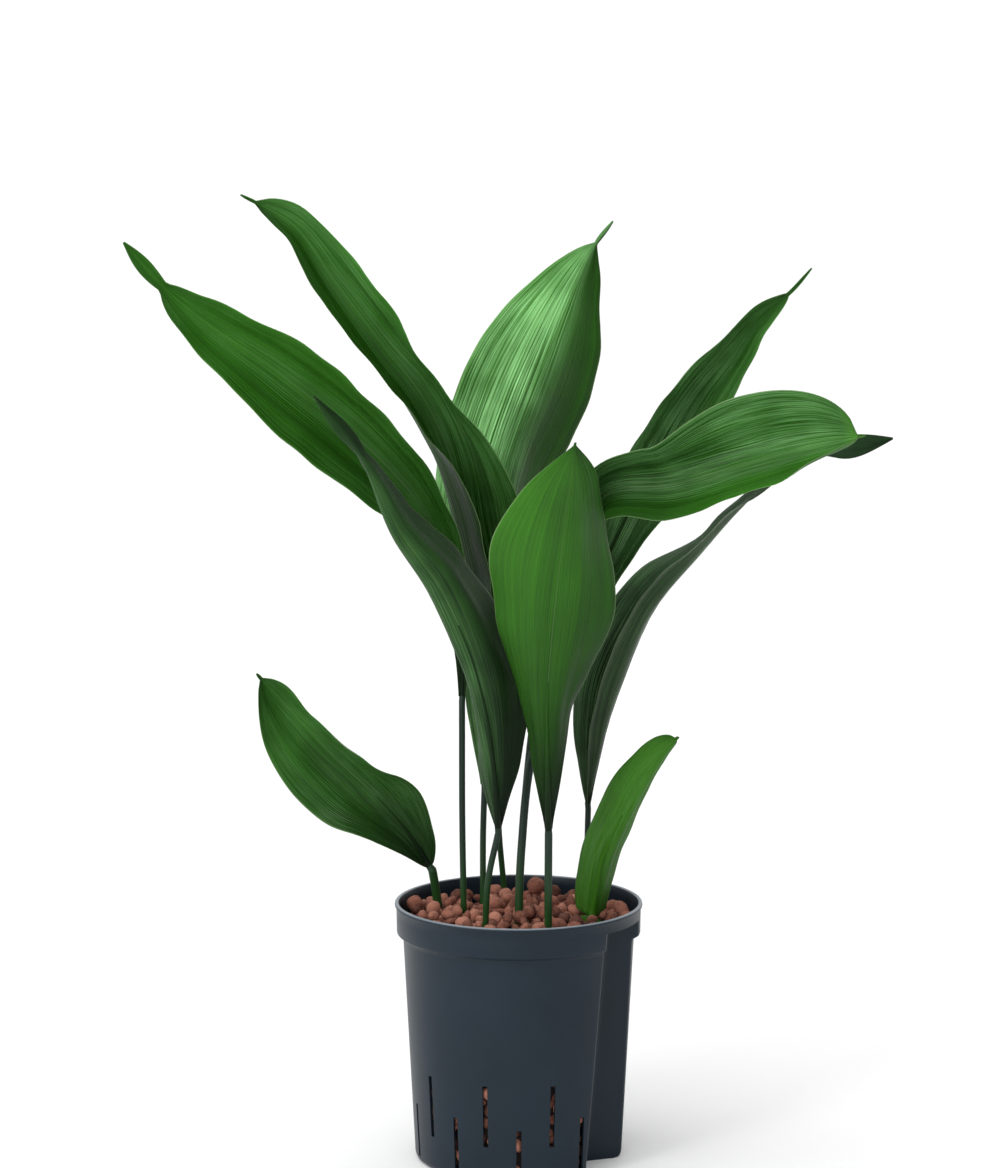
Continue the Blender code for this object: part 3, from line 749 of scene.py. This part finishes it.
class PLANT_OT_clay(bpy.types.Operator):
    """Fills the pot with granules of expanded clay"""

    bl_idname = "plant.clay"
    bl_label = "Expanded clay"

    def execute(self, context):
        clay = settings().clay
        tree, fired = granule_tree(), expanded_clay()
        common = {"Diameter": clay.size, "Lumps": 0.005, "Material": fired}
        low, high = 9.0, 84.0
        layers = [
            scatter(clay_surface("clay_at_slots", (low, 30.0, 58.0, high), 5.6), tree,
                    Spacing=clay.spacing, Lift=0.0, Seed=clay.seed, **common),
            scatter(clay_surface("clay_bed_top", (BED_TOP + 1.0,), 5.0, closed_above=True), tree,
                    Spacing=clay.spacing, Lift=0.003, Seed=clay.seed + 1, **common),
            scatter(clay_surface("clay_loose", (BED_TOP + 6.0,), 9.0, closed_above=True), tree,
                    Spacing=clay.spacing * 1.7, Lift=0.004, Seed=clay.seed + 2, **common),
        ]
        layers.append(lone_granules(fired))
        core = clay_surface("clay_core", (3.5, 90.0, 163.0, BED_TOP - 1.5), 4.0, True, True)
        core.data.materials.append(deep_clay())
        bpy.context.view_layer.update()
        with context.temp_override(active_object=core, selected_editable_objects=[core, *layers]):
            bpy.ops.object.join()
        core.name = "expanded_clay"
        loose = [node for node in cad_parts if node.startswith("granule_")]
        stand_for(core, "expanded_clay", "clay_bed", *loose)
        return {"FINISHED"}


# --- Rhizomes and roots -----------------------------------------------------------------------------------


def buried_skin(name, dark, light, scale):
    """Corky skin: dull, with a mottled grain along it."""
    material, tree = new_material(name)
    place = add_node(tree, "ShaderNodeTexCoord").outputs["Object"]
    grain = noise_value(tree, place, scale, 5.0)
    base = ramp(tree, grain, [(0.35, linear(dark)), (0.65, linear(light))])
    finish_material(tree, base, 0.8, grain, 0.0004, 0.7)
    return material


class PLANT_OT_roots(bpy.types.Operator):
    """Gives the buried rhizomes and roots their skins"""

    bl_idname = "plant.roots"
    bl_label = "Rhizomes and roots"

    def execute(self, context):
        bark = buried_skin("Rhizome cork", "#5B4127", "#8A6B42", 320.0)
        skin = buried_skin("Root skin", "#8F7A55", "#C0AB80", 500.0)
        for name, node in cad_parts.items():
            chosen = bark if name.startswith("rhizome") else skin if name.startswith("root") else None
            if chosen:
                for slot in node.material_slots:
                    slot.material = chosen
        return {"FINISHED"}


# --- Leaves -----------------------------------------------------------------------------------------------


def mixed_colour(tree, factor, first, second):
    node = add_node(tree, "ShaderNodeMix", {0: factor, 6: first, 7: second}, data_type="RGBA")
    return node.outputs[2]


def leaf_skin(name, deep, light, young, rib, painted_highlight, gloss, sheen):
    """Waxy leaf skin with fine parallel veins, long streaks and a painted highlight on the ridges."""
    material, tree = new_material(name)
    across, along, _ = add_node(
        tree, "ShaderNodeSeparateXYZ", {0: add_node(tree, "ShaderNodeUVMap", uv_map="blade").outputs[0]}
    ).outputs
    place = add_node(tree, "ShaderNodeTexCoord").outputs["Object"]
    tone = add_node(tree, "ShaderNodeAttribute", attribute_name="tone").outputs["Fac"]
    youth = add_node(tree, "ShaderNodeAttribute", attribute_name="young").outputs["Fac"]
    wide = calculate(tree, "MULTIPLY", across, STREAKS)
    far = calculate(tree, "MULTIPLY", along, 2.6)
    lane = add_node(tree, "ShaderNodeCombineXYZ", {"X": wide, "Y": far, "Z": tone}).outputs[0]
    streak = noise_value(tree, lane, 1.0, 3.0)
    cloud = noise_value(tree, place, 22.0, 2.0)
    turn = calculate(tree, "MULTIPLY", across, VEINS * 2 * math.pi)
    vein = calculate(tree, "SINE", turn)
    shade = calculate(tree, "MULTIPLY_ADD", cloud, 0.45, tone)
    lit = calculate(tree, "MULTIPLY_ADD", streak, 0.8, shade)
    lit = calculate(tree, "MULTIPLY_ADD", vein, 0.05, lit)
    lit = remap(tree, lit, 0.55, 1.55)
    base = mixed_colour(tree, lit, (*deep, 1.0), (*light, 1.0))
    # Partly painted shade: the blade is darker where it narrows towards its stalk, partly a deeper green there
    # and partly the shade that falls on it among the other leaves.
    low = remap(tree, along, 0.0, 0.72, 1.0, 0.0)
    base = mixed_colour(tree, low, base, (*(c * 0.3 for c in deep), 1.0))
    base = mixed_colour(tree, youth, base, (*young, 1.0))
    # Painted highlight: pale green in long broken patches, where the ridges between the veins catch the light.
    painted_shine = add_node(tree, "ShaderNodeAttribute", attribute_name="painted_shine").outputs["Fac"]
    stretched = calculate(tree, "MULTIPLY", along, 7.0)
    narrow = calculate(tree, "MULTIPLY", across, HIGHLIGHT_STREAKS)
    band = add_node(tree, "ShaderNodeCombineXYZ", {"X": narrow, "Y": stretched, "Z": tone}).outputs[0]
    patch = noise_value(tree, band, 1.0, 4.0)
    patch = remap(tree, patch, 0.36, 0.72)
    soft = remap(tree, cloud, 0.38, 0.6, 0.5, 1.0)
    patch = calculate(tree, "MULTIPLY", patch, soft)
    painted_shine = calculate(tree, "MULTIPLY", patch, painted_shine, use_clamp=True)
    base = mixed_colour(tree, painted_shine, base, (*painted_highlight, 1.0))
    off = calculate(tree, "SUBTRACT", across, 0.5)
    away = calculate(tree, "ABSOLUTE", off)
    midrib = remap(tree, away, *MIDRIB_FADE, to_high=0.06)
    margin = remap(tree, away, *MARGIN_FADE, to_high=0.4)
    base = mixed_colour(tree, midrib, base, (*rib, 1.0))
    base = mixed_colour(tree, margin, base, (*rib, 1.0))
    rough = remap(tree, streak, 0.3, 0.7, gloss, gloss + 0.14)
    ridges = calculate(tree, "MULTIPLY", streak, 5.0)
    height = calculate(tree, "MULTIPLY_ADD", vein, 0.35, ridges)
    finish_material(tree, base, rough, height, 0.00022, 1.0, Specular_IOR_Level=sheen)
    return material


def stalk_skin():
    """Smooth firm stalk, dark green, with faint lengthwise fibres."""
    material, tree = new_material("Leaf stalk")
    place = add_node(tree, "ShaderNodeTexCoord").outputs["Object"]
    drawn = add_node(tree, "ShaderNodeMapping", {"Vector": place, "Scale": (900.0, 900.0, 14.0)}).outputs[0]
    fibre = noise_value(tree, drawn, 1.0, 3.0)
    height = add_node(tree, "ShaderNodeSeparateXYZ", {0: place}).outputs["Z"]
    low = remap(tree, height, 0.24, 0.18)
    stalk = settings().leaf.stalk
    base = ramp(tree, fibre, [(0.3, tuple(c * 0.7 for c in stalk)), (0.7, tuple(c * 1.3 for c in stalk))])
    base = mixed_colour(tree, low, base, (*linear("#1C4116"), 1.0))
    finish_material(tree, base, 0.42, fibre, 0.0002, 0.6, Specular_IOR_Level=0.25)
    return material


def blade_half_width(leaf, share):
    """Swells from the stalk to the widest place, narrows to a neck and ends in a small drawn-out tip."""
    full, widest, base = leaf["half_width"], leaf["widest"], leaf["base_half"]
    tip, neck_half, tip_half = leaf["tip"]
    neck = 1.0 - tip
    if share < widest:
        return base + (full - base) * math.sin(math.pi / 2 * share / widest) ** leaf["wedge"]
    if share < neck:
        fall = math.cos(math.pi / 2 * (share - widest) / (neck - widest)) ** leaf["blunt"]
        return neck_half + (full - neck_half) * fall
    along = min((share - neck) / tip, 1.0)
    return neck_half + (TIP_END - neck_half) * along + tip_half * math.sin(math.pi * along)


def between(values, share):
    """Reads a list of pairs, set at even steps, at a share of its length."""
    place = share * (len(values) - 1)
    index = min(int(place), len(values) - 2)
    ease = 0.5 - 0.5 * math.cos(math.pi * (place - index))
    return [a + (b - a) * ease for a, b in zip(values[index], values[index + 1])]


def blade_stations(leaf, count):
    """Each row's share of the length, midrib point, half width and turns, from base to tip."""
    midrib = [Vector(point) for point in spline_points(leaf["midrib"], count)]
    travelled = [0.0]
    for before, after in zip(midrib, midrib[1:]):
        travelled.append(travelled[-1] + (after - before).length)
    shares = [distance / travelled[-1] for distance in travelled]
    return [
        (share, point, blade_half_width(leaf, share), *between(leaf["turns"], share))
        for share, point in zip(shares, midrib)
    ], travelled[-1]


def blade_grid(leaf, seed):
    """Rows of points across the blade, with its bow and the ripples along its margins."""
    front = Vector((0.0, -1.0, 0.0))
    ripple = settings().leaf.ripple / MM
    stations, total = blade_stations(leaf, ROWS)
    grid = []
    for index, (share, point, half, left, right) in enumerate(stations):
        along = (stations[min(index + 1, ROWS - 1)][1] - stations[max(index - 1, 0)][1]).normalized()
        across = along.cross(front).normalized()
        facing = across.cross(along)
        row = []
        for column in range(-COLUMNS, COLUMNS + 1):
            out = abs(column) / COLUMNS
            side = 1 if column > 0 else -1
            # The crease opens into a rounded trough close to the midrib.
            trough = min(out / 0.6, 1.0)
            crease = (left + right) / 2 * (0.08 + 0.92 * trough * trough * (3 - 2 * trough))
            turn = math.radians(crease + side * (right - left) / 2)
            outwards = across * (side * math.cos(turn)) + facing * math.sin(turn)
            bow = across * (-side * math.sin(turn)) + facing * math.cos(turn)
            if not leaf["upper_side"]:
                bow = -bow
            lift = 4 * out * (1 - out) * CUP / 2
            place = Vector((share * total / WAVE_LENGTH, side * 3.0, seed * 7.3))
            wave = noise.noise(place) * 2.2 * ripple * out**2 * min(half / 20.0, 1.0)
            place = Vector((share * total / SWELL_LENGTH, side * out * 2.5, seed * 3.1))
            swell = noise.noise(place) * 1.6 * min(half / 30.0, 1.0)
            row.append(point + (outwards * out - bow * lift) * half + bow * (wave + swell))
        grid.append(row)
    return grid


def leaf_mesh(name, leaf, seed):
    """The blade as a thin shell, upper side and underside apart, with its stalk running on as a keel."""
    grid = blade_grid(leaf, seed)
    width = 2 * COLUMNS + 1
    thick = settings().leaf.thickness / MM / 2
    # The upper side faces the front on some leaves and the back on others.
    face_side = 1.0 if leaf["upper_side"] else -1.0
    cage = bmesh.new()
    uv_layer = cage.loops.layers.uv.new("blade")
    tone_layer = cage.verts.layers.float.new("tone")
    young_layer = cage.verts.layers.float.new("young")
    painted_shine_layer = cage.verts.layers.float.new("painted_shine")
    skins = []
    normals = []
    for r in range(ROWS):
        normals.append([])
        for c in range(width):
            up = grid[min(r + 1, ROWS - 1)][c] - grid[max(r - 1, 0)][c]
            side = grid[r][min(c + 1, width - 1)] - grid[r][max(c - 1, 0)]
            normals[r].append(side.cross(up).normalized() * face_side)
    for sign in (1, -1):
        skin = []
        for r in range(ROWS):
            row = []
            for c in range(width):
                edge = abs(c - COLUMNS) / COLUMNS
                out = normals[r][c] * sign * thick * (1 - 0.75 * edge**6)
                vert = cage.verts.new((grid[r][c] + out) * MM)
                vert[tone_layer] = leaf["tone"]
                off = (c - COLUMNS) / COLUMNS
                right = min(max(0.35 + off * 1.8, 0.0), 1.0)
                # How strong the painted highlight is on the left half and on the right half.
                vert[painted_shine_layer] = leaf["painted_shine"][0] * (1 - right) + leaf["painted_shine"][1] * right
                # Painted light and shade: one side of the blade is made lighter and the other darker, as the
                # light falls across it.
                vert[tone_layer] += leaf["painted_side_light"] * off
                share = r / (ROWS - 1)
                tip = max(0.0, (share - leaf["yellow_from"]) / (1.0 - leaf["yellow_from"] + 1e-6))
                vert[young_layer] = min(1.0, leaf["young"] + tip * 1.6)
                row.append(vert)
            skin.append(row)
        skins.append(skin)

    def quad(corners, uvs, index):
        face = cage.faces.new(corners)
        face.material_index = index
        face.smooth = True
        for loop, uv in zip(face.loops, uvs):
            loop[uv_layer].uv = uv

    def uv_of(r, c):
        return (c / (width - 1), r / (ROWS - 1))

    for number, skin in enumerate(skins):
        for r in range(ROWS - 1):
            for c in range(width - 1):
                spots = [(r, c), (r, c + 1), (r + 1, c + 1), (r + 1, c)]
                if (number == 0) != (face_side > 0):
                    spots.reverse()
                quad([skin[a][b] for a, b in spots], [uv_of(a, b) for a, b in spots], number)
    border = [(0, c) for c in range(width)] + [(r, width - 1) for r in range(1, ROWS)]
    border += [(ROWS - 1, c) for c in range(width - 2, -1, -1)] + [(r, 0) for r in range(ROWS - 2, 0, -1)]
    for spot, after in zip(border, border[1:] + border[:1]):
        corners = [skins[1][spot[0]][spot[1]], skins[1][after[0]][after[1]],
                   skins[0][after[0]][after[1]], skins[0][spot[0]][spot[1]]]
        uvs = [uv_of(*spot), uv_of(*after), uv_of(*after), uv_of(*spot)]
        if face_side < 0:
            corners.reverse()
            uvs.reverse()
        quad(corners, uvs, 0)
    add_stalk(cage, leaf, grid, normals)
    mesh = mesh_from(cage, name)
    return mesh


def add_stalk(cage, leaf, grid, normals):
    """A round stalk, which thins to a keel along the underside of its blade."""
    radius, path = leaf["stalk"]
    reach = int(ROWS * KEEL_REACH)
    uv_layer = cage.loops.layers.uv["blade"]
    tone_layer = cage.verts.layers.float["tone"]
    young_layer = cage.verts.layers.float["young"]
    base = grid[0][COLUMNS]
    joined = tuple(base - (grid[4][COLUMNS] - base).normalized() * 4.0)
    stem = [(path[0][0], path[0][1], STALK_FOOT), *path, joined]
    centres = [Vector(point) for point in spline_points(stem, 10 * len(stem))]
    radii = [radius] * len(centres)
    shares = [0.0] * len(centres)
    for r in range(0, reach, 3):
        share = r / reach
        size = min(radius, KEEL_HALF) * (1 - share) ** 1.3 * 0.8 + KEEL_END
        centres.append(grid[r][COLUMNS] - normals[r][COLUMNS] * size * 0.55)
        radii.append(size)
        shares.append(r / (ROWS - 1))
    rings = []
    side = Vector((1.0, 0.0, 0.0))
    for index, (centre, size) in enumerate(zip(centres, radii)):
        along = (centres[min(index + 1, len(centres) - 1)] - centres[max(index - 1, 0)]).normalized()
        side = (side - along * side.dot(along)).normalized()
        other = along.cross(side)
        rings.append([
            cage.verts.new((centre + (side * math.cos(a) + other * math.sin(a)) * size) * MM)
            for a in (2 * math.pi * k / STALK_SIDES for k in range(STALK_SIDES))
        ])
    for lower, upper, start, end in zip(rings, rings[1:], shares, shares[1:]):
        for k in range(STALK_SIDES):
            after = (k + 1) % STALK_SIDES
            face = cage.faces.new((lower[k], lower[after], upper[after], upper[k]))
            face.material_index = 1 if end > 0.0 or radius > SHEATH_FROM else 2
            face.smooth = True
            for loop, share in zip(face.loops, (start, start, end, end)):
                loop[uv_layer].uv = (0.44, share)
                loop.vert[tone_layer] = leaf["tone"]
                loop.vert[young_layer] = leaf["young"]
    for cap in (list(reversed(rings[0])), rings[-1]):
        cage.faces.new(cap).material_index = 2


class PLANT_OT_leaves(bpy.types.Operator):
    """Builds the ten leaves, each with its blade and stalk"""

    bl_idname = "plant.leaves"
    bl_label = "Leaves"

    def execute(self, context):
        leaf = settings().leaf
        shared = (leaf.young, leaf.rib, leaf.painted_highlight)
        upper = leaf_skin("Waxy upper leaf skin", leaf.upper, leaf.upper_light, *shared, 0.27, 0.14)
        under = leaf_skin("Dull leaf underside", leaf.under, leaf.under_light, *shared, 0.44, 0.1)
        stalk = stalk_skin()
        for number, (name, shape) in enumerate(LEAVES.items(), 1):
            obj = link(f"leaf_{name}", leaf_mesh(f"leaf_{name}", {**LOOK, **shape}, number))
            for skin in (upper, under, stalk):
                obj.data.materials.append(skin)
            stand_for(obj, "leaf_blade", f"blade_{name}", f"stalk_{name}")
        return {"FINISHED"}


# --- Stage ------------------------------------------------------------------------------------------------


def area_light(name, place, target, size, power, tint=(1.0, 1.0, 1.0)):
    light = bpy.data.lights.new(name, "AREA")
    light.shape = "RECTANGLE"
    light.size, light.size_y = size
    light.energy = power
    light.color = tint
    obj = bpy.data.objects.new(name, light)
    bpy.context.scene.collection.objects.link(obj)
    obj.location = place
    obj.rotation_euler = (Vector(target) - Vector(place)).to_track_quat("-Z", "Y").to_euler()


def soft_window(name, heading, strength):
    """A distant window, so wide that its shadows stay soft."""
    sun = bpy.data.lights.new(name, "SUN")
    sun.energy = strength
    sun.angle = WINDOW_SPREAD
    window = bpy.data.objects.new(name, sun)
    bpy.context.scene.collection.objects.link(window)
    window.rotation_euler = Vector(heading).to_track_quat("-Z", "Y").to_euler()


class PLANT_OT_stage(bpy.types.Operator):
    """Sets the camera, the plain floor and the soft studio light"""

    bl_idname = "plant.stage"
    bl_label = "Stage"

    def execute(self, context):
        scene = context.scene
        stage = settings().stage
        for name in ("Cube", "Light", "Camera"):
            if name in bpy.data.objects:
                bpy.data.objects.remove(bpy.data.objects[name], do_unlink=True)
        camera = bpy.data.cameras.new("Camera")
        camera.lens = stage.lens
        camera.clip_end = 50.0
        view = bpy.data.objects.new("Camera", camera)
        scene.collection.objects.link(view)
        view.location = CAMERA_AT
        view.rotation_euler = (CAMERA_PITCH, 0.0, 0.0)
        scene.camera = view
        scene.view_settings.view_transform = "Standard"

        world = bpy.data.worlds.new("Soft white room")
        world.use_nodes = True
        tree = world.node_tree
        tree.nodes.clear()
        height = add_node(
            tree, "ShaderNodeSeparateXYZ", {0: add_node(tree, "ShaderNodeTexCoord").outputs["Generated"]}
        ).outputs["Z"]
        glow = ramp(tree, height, [(0.06, (1.0, 1.0, 1.0)), (0.4, (0.22, 0.22, 0.22))])
        room = add_node(tree, "ShaderNodeBackground", {"Color": glow, "Strength": stage.room})
        add_node(tree, "ShaderNodeOutputWorld", {"Surface": room.outputs[0]})
        scene.world = world

        cage = bmesh.new()
        bmesh.ops.create_grid(cage, x_segments=1, y_segments=1, size=60.0)
        mesh = mesh_from(cage, "floor")
        floor = link("floor", mesh)
        material, tree = new_material("Matt white floor")
        finish_material(tree, (*stage.floor, 1.0), 0.9)
        mesh.materials.append(material)
        soft_window("Window left", (0.75, 0.75, -1.05), stage.window)
        soft_window("Window behind", (-0.5, -0.9, -1.2), stage.window * 0.55)
        area_light("Strip left", (-1.3, -1.6, 1.5), (0, 0, 0.45), (0.5, 1.6), 14.0)
        return {"FINISHED"}


class PlantSettings(bpy.types.PropertyGroup):
    pot: PointerProperty(name="Pot", description="Culture pot", type=PotSettings)
    clay: PointerProperty(name="Clay", description="Expanded clay", type=ClaySettings)
    leaf: PointerProperty(name="Leaf", description="Leaves", type=LeafSettings)
    stage: PointerProperty(name="Stage", description="Floor, light and camera", type=StageSettings)


class PLANT_PT_panel(bpy.types.Panel):
    """Lists the steps that build the plant"""

    bl_idname = "PLANT_PT_panel"
    bl_label = "Potted cast iron plant"
    bl_space_type = "VIEW_3D"
    bl_region_type = "UI"
    bl_category = "Plant"

    def draw(self, context):
        for step in STEPS:
            self.layout.operator(step.bl_idname)


STEPS = (PLANT_OT_stage, PLANT_OT_pot, PLANT_OT_clay, PLANT_OT_roots, PLANT_OT_leaves)
CLASSES = (
    PotSettings, ClaySettings, LeafSettings, StageSettings, PlantSettings, *STEPS, PLANT_PT_panel,
)


def register():
    for cls in CLASSES:
        bpy.utils.register_class(cls)
    bpy.types.Scene.potted_plant = PointerProperty(type=PlantSettings)


def unregister():
    del bpy.types.Scene.potted_plant
    for cls in reversed(CLASSES):
        bpy.utils.unregister_class(cls)


def main():
    register()
    for step in STEPS:
        group, name = step.bl_idname.split(".")
        getattr(getattr(bpy.ops, group), name)()


if __name__ == "__main__":
    main()
